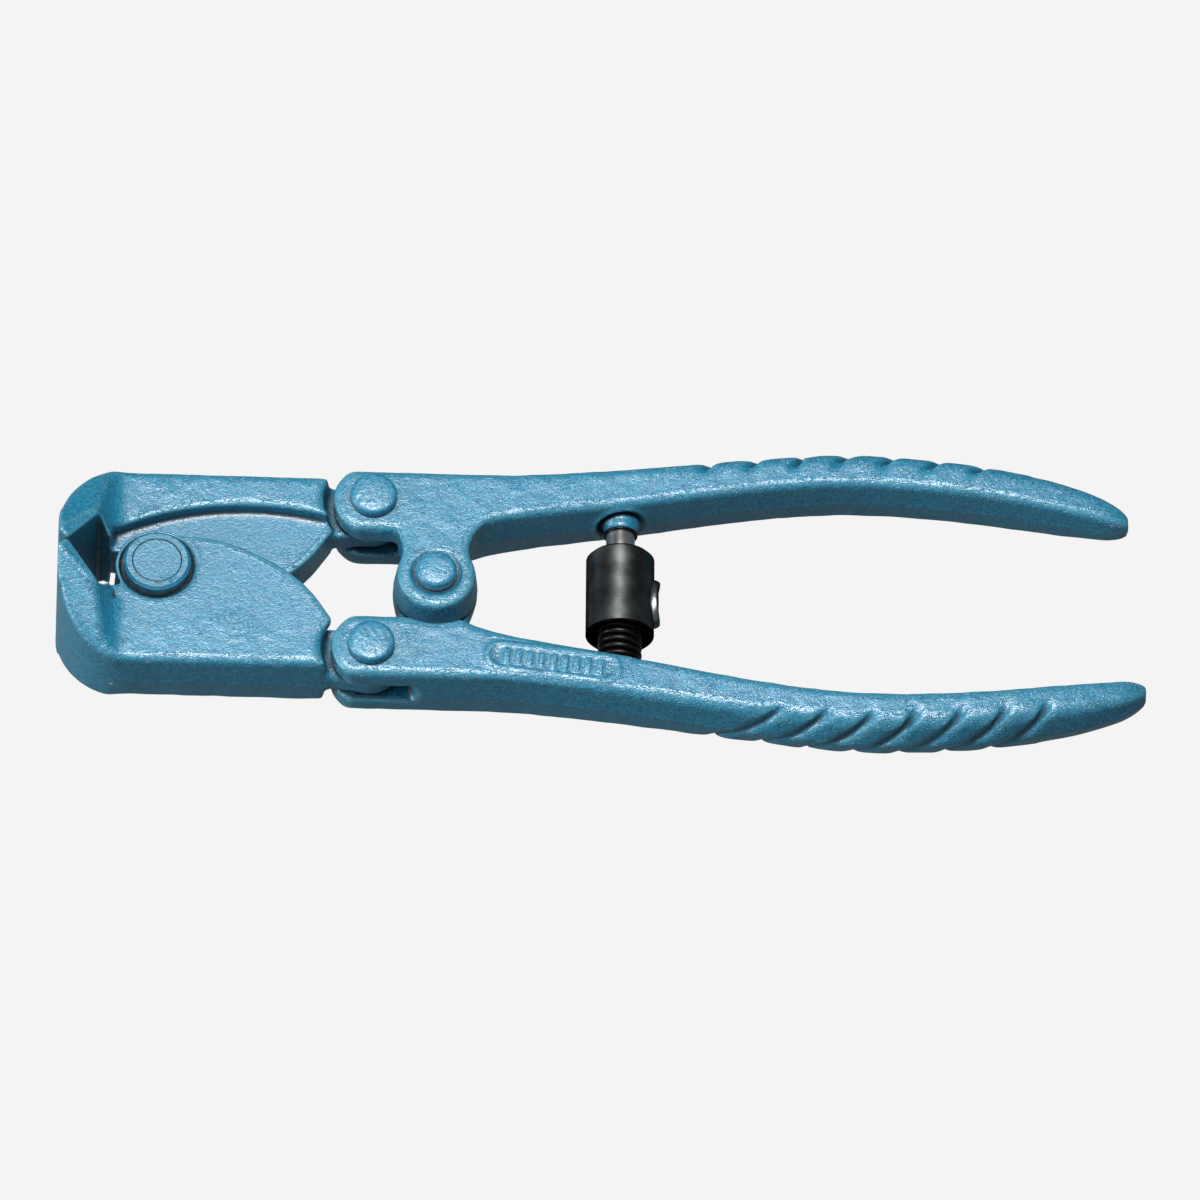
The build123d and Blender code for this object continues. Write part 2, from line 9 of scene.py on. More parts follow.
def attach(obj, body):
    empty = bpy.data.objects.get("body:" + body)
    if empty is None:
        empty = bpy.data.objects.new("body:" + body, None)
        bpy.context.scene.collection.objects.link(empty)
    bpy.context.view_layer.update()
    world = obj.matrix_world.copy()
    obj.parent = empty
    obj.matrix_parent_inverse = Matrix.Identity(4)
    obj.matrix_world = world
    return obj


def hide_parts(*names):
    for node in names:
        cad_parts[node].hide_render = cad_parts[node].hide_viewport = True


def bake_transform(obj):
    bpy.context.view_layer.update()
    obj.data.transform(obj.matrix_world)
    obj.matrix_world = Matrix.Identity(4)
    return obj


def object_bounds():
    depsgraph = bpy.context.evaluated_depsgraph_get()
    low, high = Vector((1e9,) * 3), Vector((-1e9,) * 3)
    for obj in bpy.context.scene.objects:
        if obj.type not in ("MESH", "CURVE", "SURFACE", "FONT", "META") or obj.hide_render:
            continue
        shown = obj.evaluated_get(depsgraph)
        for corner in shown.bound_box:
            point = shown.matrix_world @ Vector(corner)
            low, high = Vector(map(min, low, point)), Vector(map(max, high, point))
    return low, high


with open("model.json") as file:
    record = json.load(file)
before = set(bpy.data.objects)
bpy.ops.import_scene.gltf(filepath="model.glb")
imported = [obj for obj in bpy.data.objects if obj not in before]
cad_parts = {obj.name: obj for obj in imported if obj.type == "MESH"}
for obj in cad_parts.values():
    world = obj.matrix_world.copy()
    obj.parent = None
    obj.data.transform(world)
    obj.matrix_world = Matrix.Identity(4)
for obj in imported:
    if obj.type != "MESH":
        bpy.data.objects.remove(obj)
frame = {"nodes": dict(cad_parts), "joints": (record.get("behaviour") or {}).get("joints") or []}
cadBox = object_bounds()
nodes = frame["nodes"]
scene = bpy.context.scene
mm = 0.001

joints = {joint["name"]: joint for joint in frame["joints"]}
jawPivot = np.array(joints["jaw_pivot"]["pos_m"])
handlePivot = np.array(joints["handle_pivot"]["pos_m"])
unitAxis = np.array(joints["sleeve_turn"]["pos_m"])
print("frame loaded:", len(nodes), "nodes")


# camera

cameraSettings = {
    "azimuth": -3.6,      # degrees, to the nose side of square-on
    "elevation": 59.05,
    "roll": -4.7,
    "distance": 3.0,      # metres
    "frameWidth": 220.4262 * mm,     # seen from edge to edge, at the tool
    "aim": (-0.28 * mm, -0.64 * mm),  # right and up of the tool's middle
    "sensor": 36,          # millimetres
    "farthest": 20,
}


def addCamera(settings):
    azimuth, elevation, roll = (math.radians(settings[k]) for k in ("azimuth", "elevation", "roll"))
    back = Vector((
        math.cos(elevation) * math.sin(azimuth),
        -math.cos(elevation) * math.cos(azimuth),
        math.sin(elevation),
    ))
    right = Vector((math.cos(azimuth), math.sin(azimuth), 0))
    up = back.cross(right)
    screenRight = math.cos(roll) * right - math.sin(roll) * up
    screenUp = math.sin(roll) * right + math.cos(roll) * up
    aim = settings["aim"][0] * screenRight + settings["aim"][1] * screenUp
    data = bpy.data.cameras.new("camera")
    data.sensor_width = settings["sensor"]
    data.lens = settings["sensor"] * settings["distance"] / settings["frameWidth"]
    data.clip_end = settings["farthest"]
    camera = bpy.data.objects.new("camera", data)
    turn = Matrix((screenRight, screenUp, back)).transposed().to_4x4()
    camera.matrix_world = Matrix.Translation(aim + back * settings["distance"]) @ turn
    scene.collection.objects.link(camera)
    scene.camera = camera


# stage and light

stageSettings = {
    "floorDrop": 0.30,     # metres under the tool
    "floorSize": 40.0,
    "paper": (0.905, 0.905, 0.905),
    "dimPaper": (0.15, 0.175, 0.18),
    "skyFront": (0.27, 0.29, 0.30),
    "skyBack": (0.03, 0.033, 0.036),
    "skyChange": (-0.75, 0.35),   # where along Y the front's light gives way to the back's
}

lights = {
    "topLight": {"from": (-0.12, 0.16, 1.5), "size": (0.6, 0.5), "power": 27.0},
    "noseLight": {"from": (-1.4, -0.25, 0.35), "size": (0.7, 0.6), "power": 14.0},
}


def shownOrDim(tree, shown, dim, output):
    # the camera sees one shader and everything else is lit by the other
    mix = tree.nodes.new("ShaderNodeMixShader")
    path = tree.nodes.new("ShaderNodeLightPath")
    tree.links.new(path.outputs["Is Camera Ray"], mix.inputs[0])
    tree.links.new(dim.outputs[0], mix.inputs[1])
    tree.links.new(shown.outputs[0], mix.inputs[2])
    tree.links.new(mix.outputs[0], output.inputs["Surface"])


def paperMaterial(settings):
    # the floor is a plain pale sheet; it throws less light back than it shows
    material = bpy.data.materials.new("palePaper")
    material.use_nodes = True
    tree = material.node_tree
    tree.nodes.clear()
    output = tree.nodes.new("ShaderNodeOutputMaterial")
    shown = tree.nodes.new("ShaderNodeEmission")
    shown.inputs["Color"].default_value = (*settings["paper"], 1)
    dim = tree.nodes.new("ShaderNodeBsdfDiffuse")
    dim.inputs["Color"].default_value = (*settings["dimPaper"], 1)
    shownOrDim(tree, shown, dim, output)
    return material


def addFloor(settings):
    low = cadBox[0][2] - settings["floorDrop"]
    half = settings["floorSize"] / 2
    mesh = bpy.data.meshes.new("floor")
    corners = [(-half, -half, low), (half, -half, low), (half, half, low), (-half, half, low)]
    mesh.from_pydata(corners, [], [(0, 1, 2, 3)])
    floor = bpy.data.objects.new("floor", mesh)
    floor.data.materials.append(paperMaterial(settings))
    scene.collection.objects.link(floor)


def addWorld(settings):
    # soft room light, brighter on the camera's side
    world = bpy.data.worlds.new("studio")
    scene.world = world
    world.use_nodes = True
    tree = world.node_tree
    tree.nodes.clear()
    output = tree.nodes.new("ShaderNodeOutputWorld")
    shown = tree.nodes.new("ShaderNodeBackground")
    shown.inputs["Color"].default_value = (*settings["paper"], 1)
    soft = tree.nodes.new("ShaderNodeBackground")
    facing = tree.nodes.new("ShaderNodeSeparateXYZ")
    coords = tree.nodes.new("ShaderNodeTexCoord")
    tree.links.new(coords.outputs["Object"], facing.inputs[0])
    room = tree.nodes.new("ShaderNodeMapRange")
    room.inputs["From Min"].default_value, room.inputs["From Max"].default_value = settings["skyChange"]
    tree.links.new(facing.outputs["Y"], room.inputs["Value"])
    blend = tree.nodes.new("ShaderNodeMix")
    blend.data_type = "RGBA"
    blend.inputs[6].default_value = (*settings["skyFront"], 1)
    blend.inputs[7].default_value = (*settings["skyBack"], 1)
    tree.links.new(room.outputs[0], blend.inputs[0])
    tree.links.new(blend.outputs[2], soft.inputs["Color"])
    shownOrDim(tree, shown, soft, output)


def addLights(settings):
    for name, one in settings.items():
        data = bpy.data.lights.new(name, "AREA")
        data.shape = "RECTANGLE"
        data.size, data.size_y = one["size"]
        data.energy = one["power"]
        lamp = bpy.data.objects.new(name, data)
        place = Vector(one["from"])
        lamp.location = place
        lamp.rotation_euler = (-place).to_track_quat("-Z", "Y").to_euler()
        scene.collection.objects.link(lamp)


addCamera(cameraSettings)
addFloor(stageSettings)
addWorld(stageSettings)
addLights(lights)
scene.view_settings.view_transform = "Standard"
print("camera, stage and lights set")


# materials

def newMaterial(name):
    material = bpy.data.materials.new(name)
    material.use_nodes = True
    return material, material.node_tree, material.node_tree.nodes["Principled BSDF"]


def noise(tree, coords, scale, detail=2.0, rough=0.5, distort=0.0):
    node = tree.nodes.new("ShaderNodeTexNoise")
    node.inputs["Scale"].default_value = scale
    node.inputs["Detail"].default_value = detail
    node.inputs["Roughness"].default_value = rough
    node.inputs["Distortion"].default_value = distort
    tree.links.new(coords, node.inputs["Vector"])
    return node.outputs["Fac"]


def ramp(tree, value, stops):
    node = tree.nodes.new("ShaderNodeValToRGB")
    elements = node.color_ramp.elements
    while len(elements) < len(stops):
        elements.new(0.5)
    for element, (place, colour) in zip(elements, stops):
        element.position = place
        element.color = (*colour, 1) if len(colour) == 3 else colour
    tree.links.new(value, node.inputs["Fac"])
    return node.outputs["Color"]


def mathNode(tree, operation, first, second):
    node = tree.nodes.new("ShaderNodeMath")
    node.operation = operation
    for index, value in enumerate((first, second)):
        if isinstance(value, (int, float)):
            node.inputs[index].default_value = value
        else:
            tree.links.new(value, node.inputs[index])
    return node.outputs[0]


def product(tree, first, *others):
    for value in others:
        first = mathNode(tree, "MULTIPLY", first, value)
    return first


def fade(tree, value, low, high, start=0.0, end=1.0):
    # a grey that goes from one strength to another between two levels
    return ramp(tree, value, [(low, (start,) * 3), (high, (end,) * 3)])


def mixColour(tree, factor, first, second, blend="MIX"):
    node = tree.nodes.new("ShaderNodeMix")
    node.data_type = "RGBA"
    node.blend_type = blend
    sockets = (node.inputs[0], node.inputs[6], node.inputs[7])
    for socket, value in zip(sockets, (factor, first, second)):
        if isinstance(value, (int, float)):
            socket.default_value = value
        elif isinstance(value, tuple):
            socket.default_value = (*value, 1)
        else:
            tree.links.new(value, socket)
    return node.outputs[2]


lacquerSettings = {
    "deep": (0.002, 0.108, 0.205),
    "body": (0.004, 0.200, 0.340),
    "pale": (0.022, 0.282, 0.440),
    "clouded": (0.90, 0.93, 0.94),
    "worn": (0.09, 0.34, 0.44),
    # near-black painted shade, mixed into the concave corners
    "cornerShade": (0.004, 0.016, 0.030),
    "metallic": 0.05,
    "specular": 1.0,
    "roughness": (0.40, 0.58),
    "coat": 0.6,
    "coatRoughness": 0.22,
    # how fine each pattern is, in waves per metre or so
    "clouds": 60, "cells": 1500, "grain": 3400, "folds": 620, "patches": 130,
    "foldStretch": (0.38, 1, 1),
    "peel": 0.12 * mm,        # relief of the orange peel
    "flow": 0.06 * mm,        # and of the flow wrinkles of the forging
    "creviceReach": 2.2 * mm,
    "creviceShade": 0.10,
}

wearSettings = {
    "chip": (0.10, 0.060, 0.040),
    "chipRadius": 4.75 * mm,   # round the jaw pivot, on the side away from the upper jaw
    "chipWidth": 0.45 * mm,
    "chipTop": 1.0 * mm,
    "chipOver": 8.0 * mm,      # only on the disc, which stands proud of this
    "chipGrain": 900,
    "scuff": (0.62, 0.70, 0.72),
    "scuffX": -89.6 * mm,      # on the lower jaw's outer wall
    "scuffZ": -3.6 * mm,
    "scuffHalf": (0.7 * mm, 4.0 * mm),
    "scuffBelow": -15 * mm,
    "scuffGrain": 1500,
}


def bumpNode(tree, height, distance, under=None, strength=1.0):
    bump = tree.nodes.new("ShaderNodeBump")
    bump.inputs["Strength"].default_value = strength
    bump.inputs["Distance"].default_value = distance
    tree.links.new(height, bump.inputs["Height"])
    if under is not None:
        tree.links.new(under, bump.inputs["Normal"])
    return bump.outputs[0]


def near(tree, value, target, width):
    # one at the target, falling to zero a width away
    away = mathNode(tree, "ABSOLUTE", mathNode(tree, "SUBTRACT", value, target), 0)
    share = mathNode(tree, "SUBTRACT", 1.0, mathNode(tree, "DIVIDE", away, width))
    return mathNode(tree, "MAXIMUM", share, 0.0)


def chipMask(tree, coords, place, settings):
    # patches of a ring round the jaw pivot
    across = mathNode(tree, "SUBTRACT", place.outputs["X"], float(jawPivot[0]))
    up = place.outputs["Y"]
    squares = mathNode(tree, "ADD", product(tree, across, across), product(tree, up, up))
    ring = near(tree, mathNode(tree, "SQRT", squares, 0), settings["chipRadius"], settings["chipWidth"])
    patchy = fade(tree, noise(tree, coords, settings["chipGrain"], 3, 0.6), 0.54, 0.60)
    low = mathNode(tree, "LESS_THAN", up, settings["chipTop"])
    away = mathNode(tree, "ABSOLUTE", place.outputs["Z"], 0)
    onDisc = mathNode(tree, "GREATER_THAN", away, settings["chipOver"])
    return product(tree, ring, patchy, low, onDisc)


def scuffMask(tree, coords, place, settings):
    # specks in a narrow upright patch
    halfWidth, halfHeight = settings["scuffHalf"]
    along = near(tree, place.outputs["X"], settings["scuffX"], halfWidth)
    upright = near(tree, place.outputs["Z"], settings["scuffZ"], halfHeight)
    onWall = mathNode(tree, "LESS_THAN", place.outputs["Y"], settings["scuffBelow"])
    specks = fade(tree, noise(tree, coords, settings["scuffGrain"], 3, 0.7), 0.56, 0.60)
    return product(tree, along, upright, onWall, specks)


def lacquerMaterial(name, settings, wear):
    # hammer-tone lacquer: metallic pigment that gathers in fine cells, thin and
    # pale on the crests, over wrinkles of the forging; painted shade darkens the corners and crevices
    material, tree, shader = newMaterial(name)
    coords = tree.nodes.new("ShaderNodeTexCoord").outputs["Object"]
    clouds = noise(tree, coords, settings["clouds"], 3, 0.5)
    cells = noise(tree, coords, settings["cells"], 2, 0.5, 0.2)
    grain = noise(tree, coords, settings["grain"], 1, 0.5)
    mixed = mathNode(tree, "ADD", product(tree, cells, 0.5), product(tree, grain, 0.5))
    colour = ramp(tree, mixed, [(0.34, settings["deep"]), (0.50, settings["body"]), (0.66, settings["pale"])])
    clouding = ramp(tree, clouds, [(0.3, settings["clouded"]), (0.7, (1.0, 1.0, 1.0))])
    colour = mixColour(tree, 1.0, colour, clouding, "MULTIPLY")
    crest = tree.nodes.new("ShaderNodeAttribute")
    crest.attribute_name = "crest"     # 0 on the flat, up to 1 on a crest, down to -1 in a corner
    proud = mathNode(tree, "ADD", product(tree, crest.outputs["Fac"], 0.5), 0.5)
    colour = mixColour(tree, fade(tree, proud, 0.62, 0.98, 0.0, 0.5), colour, settings["worn"])
    # painted shade: concave corners are darkened towards near black
    colour = mixColour(tree, fade(tree, proud, 0.05, 0.40, 0.9, 0.0), colour, settings["cornerShade"])
    place = tree.nodes.new("ShaderNodeSeparateXYZ")
    tree.links.new(coords, place.inputs[0])
    colour = mixColour(tree, chipMask(tree, coords, place, wear), colour, wear["chip"])
    colour = mixColour(tree, scuffMask(tree, coords, place, wear), colour, wear["scuff"])
    # painted shade: the colour is darkened in crevices, as far as the ambient occlusion reaches
    occlusion = tree.nodes.new("ShaderNodeAmbientOcclusion")
    occlusion.samples = 8
    occlusion.inputs["Distance"].default_value = settings["creviceReach"]
    shade = fade(tree, occlusion.outputs["AO"], 0.28, 0.80, settings["creviceShade"], 1.0)
    colour = mixColour(tree, 1.0, colour, shade, "MULTIPLY")
    tree.links.new(colour, shader.inputs["Base Color"])
    tree.links.new(fade(tree, grain, 0.3, 0.7, *settings["roughness"]), shader.inputs["Roughness"])
    shader.inputs["Metallic"].default_value = settings["metallic"]
    shader.inputs["Specular IOR Level"].default_value = settings["specular"]
    shader.inputs["Coat Weight"].default_value = settings["coat"]
    shader.inputs["Coat Roughness"].default_value = settings["coatRoughness"]
    # wrinkles run mostly along the tool and come and go in patches
    stretch = tree.nodes.new("ShaderNodeMapping")
    stretch.inputs["Scale"].default_value = settings["foldStretch"]
    tree.links.new(coords, stretch.inputs["Vector"])
    folds = noise(tree, stretch.outputs[0], settings["folds"], 2, 0.45, 1.8)
    ridged = mathNode(tree, "ABSOLUTE", mathNode(tree, "SUBTRACT", folds, 0.5), 0)
    lines = fade(tree, ridged, 0.0, 0.035)
    patches = fade(tree, noise(tree, coords, settings["patches"], 2, 0.5), 0.52, 0.64, 0.05, 0.8)
    onEdges = fade(tree, proud, 0.50, 0.62)
    wrinkles = product(tree, lines, mathNode(tree, "MAXIMUM", patches, onEdges))
    low = bumpNode(tree, wrinkles, settings["flow"])
    normal = bumpNode(tree, mixed, settings["peel"], low)
    tree.links.new(normal, shader.inputs["Normal"])
    tree.links.new(normal, shader.inputs["Coat Normal"])
    return material


# "rim" is how much is left of a glancing reflection
steelSettings = {
    "blackened": {
        "low": (0.155, 0.168, 0.166), "high": (0.250, 0.272, 0.268), "rough": (0.27, 0.35),
        "metallic": 1.0, "rim": 0.0, "blackBelow": -8.3 * mm, "black": (0.006, 0.006, 0.006),
    },
    "collar": {
        "low": (0.010, 0.010, 0.011), "high": (0.03, 0.03, 0.033), "rough": (0.3, 0.5),
        "metallic": 0.9, "rim": 1.0,
    },
    "springWire": {
        "low": (0.010, 0.009, 0.009), "high": (0.035, 0.03, 0.028), "rough": (0.25, 0.42),
        "metallic": 0.9, "rim": 1.0,
    },
    "stud": {
        "low": (0.42, 0.42, 0.43), "high": (0.62, 0.62, 0.63), "rough": (0.18, 0.3),
        "metallic": 0.9, "rim": 1.0,
    },
}

turningMarks = {"marks": 260, "smear": 220, "fine": 2400, "stretch": (1, 12, 1), "depth": 0.02 * mm}


def steelMaterial(name, settings, turning):
    # turned steel: marks that run round Y, over smears and a fine grain
    material, tree, shader = newMaterial(name)
    coords = tree.nodes.new("ShaderNodeTexCoord").outputs["Object"]
    stretch = tree.nodes.new("ShaderNodeMapping")
    stretch.inputs["Scale"].default_value = turning["stretch"]
    tree.links.new(coords, stretch.inputs["Vector"])
    marks = noise(tree, stretch.outputs[0], turning["marks"], 4, 0.6)
    smear = noise(tree, coords, turning["smear"], 3, 0.5)
    fine = noise(tree, coords, turning["fine"], 2, 0.6)
    both = mathNode(tree, "ADD", product(tree, marks, 0.2), product(tree, smear, 0.5))
    both = mathNode(tree, "ADD", both, product(tree, fine, 0.3))
    colour = ramp(tree, both, [(0.35, settings["low"]), (0.65, settings["high"])])
    if "blackBelow" in settings:
        # the open end and its rim are left black
        place = tree.nodes.new("ShaderNodeSeparateXYZ")
        tree.links.new(coords, place.inputs[0])
        end = tree.nodes.new("ShaderNodeMapRange")
        end.inputs["From Min"].default_value = settings["blackBelow"] + 0.2 * mm
        end.inputs["From Max"].default_value = settings["blackBelow"]
        tree.links.new(place.outputs["Y"], end.inputs["Value"])
        colour = mixColour(tree, end.outputs[0], colour, settings["black"])
    tree.links.new(colour, shader.inputs["Base Color"])
    tree.links.new(fade(tree, smear, 0.35, 0.65, *settings["rough"]), shader.inputs["Roughness"])
    shader.inputs["Metallic"].default_value = settings["metallic"]
    shader.inputs["Specular Tint"].default_value = (*(settings["rim"],) * 3, 1)
    normal = bumpNode(tree, both, turning["depth"], strength=0.6)
    tree.links.new(normal, shader.inputs["Normal"])
    return material


lacquer = lacquerMaterial("hammerLacquer", lacquerSettings, wearSettings)
steels = {name: steelMaterial(name, one, turningMarks) for name, one in steelSettings.items()}

nodeFinishes = {
    "upper_jaw": lacquer, "lower_jaw": lacquer, "upper_handle": lacquer, "lower_handle": lacquer,
    "jaw_pivot_pin": lacquer, "jaw_washer_front": lacquer, "jaw_washer_rear": lacquer,
    "upper_link_rivet": lacquer, "lower_link_rivet": lacquer, "handle_pivot_rivet": lacquer,
    "spring_sleeve": steels["blackened"], "sleeve_tab": steels["blackened"],
    "stud_collar": lacquer, "spring_guide_pin": steels["collar"],
    "return_spring": steels["springWire"], "stop_stud": steels["stud"], "thrust_washer": steels["stud"],
}
for name, material in nodeFinishes.items():
    nodes[name].data.materials.clear()
    nodes[name].data.materials.append(material)
print("materials on every node")


# forged skins

def ripple(points, wavelength, seed, count=9):
    # smooth unevenness: sines of random headings added together, about -1 to 1
    rng = np.random.default_rng(seed)
    headings = rng.normal(size=(count, 3))
    headings /= np.linalg.norm(headings, axis=1, keepdims=True)
    lengths = wavelength * rng.uniform(0.7, 1.5, count)
    phases = rng.uniform(0, 2 * np.pi, count)
    waves = np.sin(points @ (headings / lengths[:, None]).T * 2 * np.pi + phases)
    return waves.sum(axis=1) / math.sqrt(count)


def spread(values, edges, count, turns, rate, hold=None):
    # each vertex moves towards the mean of its neighbours, a few times over
    ends = np.concatenate([edges[:, 0], edges[:, 1]])
    others = np.concatenate([edges[:, 1], edges[:, 0]])
    degree = np.maximum(np.bincount(ends, minlength=count), 1)[:, None]
    values = values.copy()
    for _ in range(turns):
        sums = [np.bincount(ends, values[others, k], count) for k in range(values.shape[1])]
        total = np.stack(sums, axis=1)
        step = rate * (total / degree - values)
        values += step if hold is None else step * (1 - hold)[:, None]
    return values


def smoothStep(value, low, high):
    share = np.clip((value - low) / (high - low), 0, 1)
    return share * share * (3 - 2 * share)


def readMesh(mesh):
    count = len(mesh.vertices)
    points = np.empty(count * 3)
    mesh.vertices.foreach_get("co", points)
    edges = np.empty(len(mesh.edges) * 2, dtype=np.int64)
    mesh.edges.foreach_get("vertices", edges)
    normals = np.empty(count * 3)
    mesh.vertex_normals.foreach_get("vector", normals)
    return points.reshape(-1, 3), edges.reshape(-1, 2), normals.reshape(-1, 3)


def mergedCopy(nodeName, pieceName):
    mesh = nodes[nodeName].data.copy()
    mesh.name = pieceName
    work = bmesh.new()
    work.from_mesh(mesh)
    bmesh.ops.remove_doubles(work, verts=work.verts, dist=2e-6)
    work.to_mesh(mesh)
    work.free()
    return mesh


def forgedSkin(nodeName, body, settings, shape, hold):
    # even skin over the CAD piece, its edges softened as a forging's are,
    # with gentle unevenness and a mark of how far each spot stands proud
    raw = bpy.data.objects.new(nodeName + "_raw", mergedCopy(nodeName, nodeName + "_raw"))
    scene.collection.objects.link(raw)
    remesh = raw.modifiers.new("even", "REMESH")
    remesh.mode = "VOXEL"
    remesh.voxel_size = settings["cell"]
    mesh = bpy.data.meshes.new_from_object(raw.evaluated_get(bpy.context.evaluated_depsgraph_get()))
    mesh.name = nodeName + "_skin"
    bpy.data.objects.remove(raw)
    points, edges, normals = readMesh(mesh)
    count = len(points)
    hold = spread(hold(points)[:, None], edges, count, 2, 0.5)[:, 0]
    points = spread(points, edges, count, settings["crisp"], 0.5)
    points = spread(points, edges, count, settings["soften"], 0.5, hold)
    mesh.vertices.foreach_set("co", points.ravel())
    mesh.update()
    points, edges, normals = readMesh(mesh)
    lean = ((points - spread(points, edges, count, 6, 0.5)) * normals).sum(axis=1, keepdims=True)
    lean = spread(lean, edges, count, 3, 0.5)[:, 0]
    crest = np.clip(2 * lean / settings["crestScale"], -1, 1)
    rough = ripple(points, 7 * mm, 11) + 0.5 * ripple(points, 2.6 * mm, 23)
    shift = settings["uneven"] * rough * (1 - hold) + shape(points, normals)
    points = points + normals * shift[:, None]
    points = np.clip(points, np.array(cadBox[0]), np.array(cadBox[1]))
    mesh.vertices.foreach_set("co", points.ravel())
    layer = mesh.attributes.new("crest", "FLOAT", "POINT")
    layer.data.foreach_set("value", crest)
    mesh.polygons.foreach_set("use_smooth", np.ones(len(mesh.polygons), dtype=bool))
    mesh.materials.clear()
    mesh.materials.append(lacquer)
    mesh.update()
    skin = bpy.data.objects.new(nodeName + "_skin", mesh)
    scene.collection.objects.link(skin)
    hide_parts(nodeName)
    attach(skin, body)
    print("skin", nodeName, len(mesh.polygons), "faces, crest", round(float(np.abs(lean).max()) / mm, 3))
    return skin


def partingRidge(points, normals, height, half):
    # thin flash line left half way up the walls by the two dies
    onWall = 1 - smoothStep(np.abs(normals[:, 2]), 0.2, 0.5)
    return height * np.exp(-((points[:, 2] / half) ** 2)) * onWall


jawSkin = {"cell": 0.27 * mm, "crisp": 5, "soften": 70, "uneven": 0.030 * mm, "crestScale": 0.08 * mm}
handleSkin = {"cell": 0.32 * mm, "crisp": 5, "soften": 22, "uneven": 0.030 * mm, "crestScale": 0.10 * mm}


def ringHold(points, centre, low, high, floor):
    # one within a ring round a pivot on either face, zero elsewhere
    away = np.hypot(points[:, 0] - centre[0], points[:, 1] - centre[1])
    onRing = smoothStep(away, low - 0.5 * mm, low) * (1 - smoothStep(away, high, high + 0.5 * mm))
    return onRing * (np.abs(points[:, 2]) > floor)


jawForm = {
    "stations": (-91.0, -84.0, -78.0, -71.9, -62.0, -48.0),   # X along the jaw, mm
    "step": (7.3, 10.4, 12.2, 13.1, 13.3, 11.8),              # Y of the step beside the web, mm
    "web": (-90 * mm, -46 * mm),
    "hollow": (-88 * mm, 7.7 * mm),
    "ridge": (0.10 * mm, 0.30 * mm),
}

handleForm = {
    "label": (-9 * mm, -18.2 * mm),       # middle of the label frame, X and Y
    "labelHalf": (14.5 * mm, 5 * mm),
    "labelOver": 5.5 * mm,
    "tip": (93 * mm, 96 * mm),
    "ridge": (0.12 * mm, 0.35 * mm),
    "gripStart": (24 * mm, 30 * mm),
    "gripEnd": (80 * mm, 88 * mm),
    "firstGroove": {1: 24.5 * mm, -1: 25.8 * mm},   # upper and lower handle
    "pitch": 8.4 * mm,
    "lean": 1.11,                         # how far a groove runs along for its height
    "scale": 0.10 * mm,
    "lip": (4.9 * mm, 0.5 * mm, 0.40 * mm),   # radius, half width and rise round the stud
    "lipBelow": 19 * mm,
}


def jawHold(side):
    def hold(points):
        # the hollow, the cutting edges, the disc's seat and the web stay crisp
        x, y, z = points.T
        step = np.interp(x, np.array(jawForm["stations"]) * mm, np.array(jawForm["step"]) * mm)
        start, end = jawForm["web"]
        web = (x > start) * (x < end) * (1 - smoothStep(side * y - step, 0.2 * mm, 1.0 * mm))
        end, half = jawForm["hollow"]
        corner = np.abs(y) + 0.8 * (x + 92.5 * mm)
        hollow = (x < end) * (np.abs(y) < half) * (1 - smoothStep(corner, 6.6 * mm, 8.4 * mm))
        seat = ringHold(points, jawPivot, 0 * mm, 7.0 * mm, 3.5 * mm)
        return np.maximum.reduce([0.97 * hollow, 0.85 * seat, 0.8 * web])
    return hold


def jawShape(points, normals):
    return partingRidge(points, normals, *jawForm["ridge"])


def handleHold(side):
    def hold(points):
        # the rivet's recess, the label and the tip stay crisp
        x, y, z = points.T
        seat = ringHold(points, handlePivot, 0 * mm, 5.0 * mm, 3 * mm)
        middle, half = handleForm["label"], handleForm["labelHalf"]
        label = (side < 0) * (np.abs(x - middle[0]) < half[0]) * (np.abs(y - middle[1]) < half[1])
        label = label * (z > handleForm["labelOver"])
        tip = smoothStep(x, *handleForm["tip"])
        return np.maximum.reduce([seat * 0.95, label * 0.95, tip * 0.85])
    return hold


def gripShape(side):
    def shape(points, normals):
        # flash line on the plain walls; on the grip the wall between two
        # grooves rises like the edge of a scale and drops at the next groove
        x, y, z = points.T
        outer = smoothStep(normals[:, 1] * side, 0.35, 0.8)
        onGrip = smoothStep(x, *handleForm["gripStart"]) * (1 - smoothStep(x, *handleForm["gripEnd"]))
        phase = (x - handleForm["firstGroove"][side] + side * z * handleForm["lean"]) / handleForm["pitch"]
        scale = 1 - np.mod(phase, 1)
        plain = 1 - outer * onGrip
        ridge = partingRidge(points, normals, *handleForm["ridge"]) * plain
        if side > 0:
            # rolled lip round the spot face of the stud
            radius, half, rise = handleForm["lip"]
            away = np.hypot(x - unitAxis[0], z)
            inner = smoothStep(-normals[:, 1], 0.1, 0.6) * (y < handleForm["lipBelow"])
            ridge = ridge + rise * np.exp(-(((away - radius) / half) ** 2)) * inner
        return ridge - handleForm["scale"] * scale * outer * onGrip
    return shape


for side, nodeName in ((1, "upper_jaw"), (-1, "lower_jaw")):
    forgedSkin(nodeName, nodeName, jawSkin, jawShape, jawHold(side))
for side, nodeName in ((1, "upper_handle"), (-1, "lower_handle")):
    forgedSkin(nodeName, nodeName, handleSkin, gripShape(side), handleHold(side))
print("forged skins made")


# pieces made from surfaces: quads between neighbours of a grid of points

def gridFaces(rows, cols):
    index = np.arange(rows * cols).reshape(rows, cols)
    return np.stack([index[:-1, :-1], index[1:, :-1], index[1:, 1:], index[:-1, 1:]], axis=-1).reshape(-1, 4)


def tubeFaces(rows, cols):
    # like gridFaces, but the last column joins the first
    index = np.arange(rows * cols).reshape(rows, cols)
    after = np.roll(index, -1, axis=1)
    return np.stack([index[:-1], index[1:], after[1:], after[:-1]], axis=-1).reshape(-1, 4)


